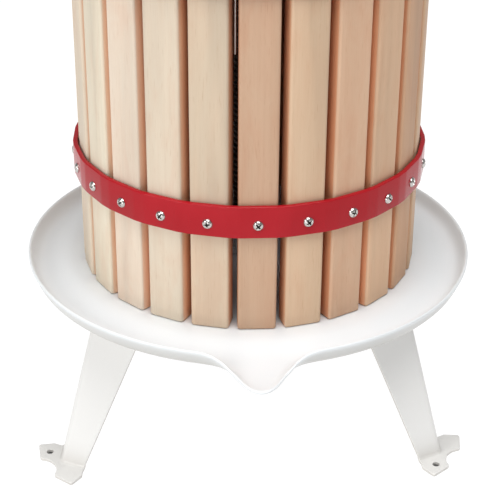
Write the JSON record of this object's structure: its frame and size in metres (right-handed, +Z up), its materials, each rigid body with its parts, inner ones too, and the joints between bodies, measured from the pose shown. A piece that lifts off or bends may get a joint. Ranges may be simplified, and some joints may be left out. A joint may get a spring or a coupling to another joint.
{
  "type": "basket wine press",
  "caption": "Basket wine press: slatted wooden basket with red steel hoops on a white juice tray with lip and folded legs, pressed by a hand-turned nut on a spindle.",
  "frame": {"origin": "floor level on the spindle axis, the centre of the underside of the bounding box", "axes": "+Z up along the spindle; -Y towards the pouring lip; +X to the right as seen from the lip side"},
  "size_m": [0.375, 0.461, 0.76],
  "materials": {
    "stave_wood": "planed beech, unfinished matt",
    "press_wood": "planed beech, unfinished matt",
    "red_paint": "gloss red paint",
    "cast_iron_red": "red paint over cast iron",
    "white_enamel": "smooth white powder coat",
    "white_enamel_legs": "smooth white powder coat",
    "screw_steel": "bright polished",
    "pin_steel": "drawn wire",
    "zinc_plate": "zinc plated",
    "spindle_steel": "rolled thread, light oil",
    "bar_steel": "zinc plated bar",
    "grip_rubber": "ribbed black rubber"
  },
  "bodies": {
    "base": {"juice_tray": "white_enamel", "leg_left": "white_enamel_legs", "leg_right": "white_enamel_legs", "leg_rear": "white_enamel_legs", "leg_bolt_1": "zinc_plate", "leg_bolt_2": "zinc_plate", "leg_bolt_3": "zinc_plate", "leg_nut_1": "zinc_plate", "leg_nut_2": "zinc_plate", "leg_nut_3": "zinc_plate", "spindle": "spindle_steel", "spindle_washer": "zinc_plate", "spindle_nut_lower": "zinc_plate", "spindle_nut_upper": "zinc_plate"},
    "basket": {"stave_01": "stave_wood", "stave_02": "stave_wood", "stave_03": "stave_wood", "stave_04": "stave_wood", "stave_05": "stave_wood", "stave_06": "stave_wood", "stave_07": "stave_wood", "stave_08": "stave_wood", "stave_09": "stave_wood", "stave_10": "stave_wood", "stave_11": "stave_wood", "stave_12": "stave_wood", "stave_13": "stave_wood", "stave_14": "stave_wood", "stave_15": "stave_wood", "stave_16": "stave_wood", "stave_17": "stave_wood", "stave_18": "stave_wood", "stave_19": "stave_wood", "stave_20": "stave_wood", "stave_21": "stave_wood", "stave_22": "stave_wood", "stave_23": "stave_wood", "stave_24": "stave_wood", "lower_hoop": "red_paint", "lower_hoop_screws": "screw_steel", "upper_hoop": "red_paint", "upper_hoop_screws": "screw_steel"},
    "upper_pin": {"upper_hoop_pin": "pin_steel"},
    "lower_pin": {"lower_hoop_pin": "pin_steel"},
    "press_head": {"press_plate_left": "press_wood", "press_plate_right": "press_wood", "press_block_front": "press_wood", "press_block_back": "press_wood", "press_block_left": "press_wood", "press_block_right": "press_wood", "thrust_plate": "zinc_plate"},
    "handle": {"pressing_nut": "cast_iron_red", "handle_bar_front": "bar_steel", "handle_bar_back": "bar_steel", "handle_grip_front": "grip_rubber", "handle_grip_back": "grip_rubber"}
  },
  "joints": [
    {"name": "basket_lift", "type": "slide", "parent": "base", "child": "basket", "axis": [0, 0, 1], "range_m": [0, 0.025]},
    {"name": "upper_pin_pull", "type": "slide", "parent": "basket", "child": "upper_pin", "axis": [0, 0, 1], "range_m": [0, 0.06]},
    {"name": "lower_pin_pull", "type": "slide", "parent": "basket", "child": "lower_pin", "axis": [0, 0, 1], "range_m": [0, 0.06]},
    {"name": "press_travel", "type": "slide", "parent": "base", "child": "press_head", "axis": [0, 0, -1], "range_m": [0, 0.11]},
    {"name": "handle_turn", "type": "hinge", "parent": "press_head", "child": "handle", "pos_m": [0, 0, 0.684], "axis": [0, 0, -1], "range_deg": [0, 7920]}
  ],
  "couplings": [
    {"joint": "press_travel", "follows": "handle_turn", "m_per_rad": 0.00079577}
  ]
}
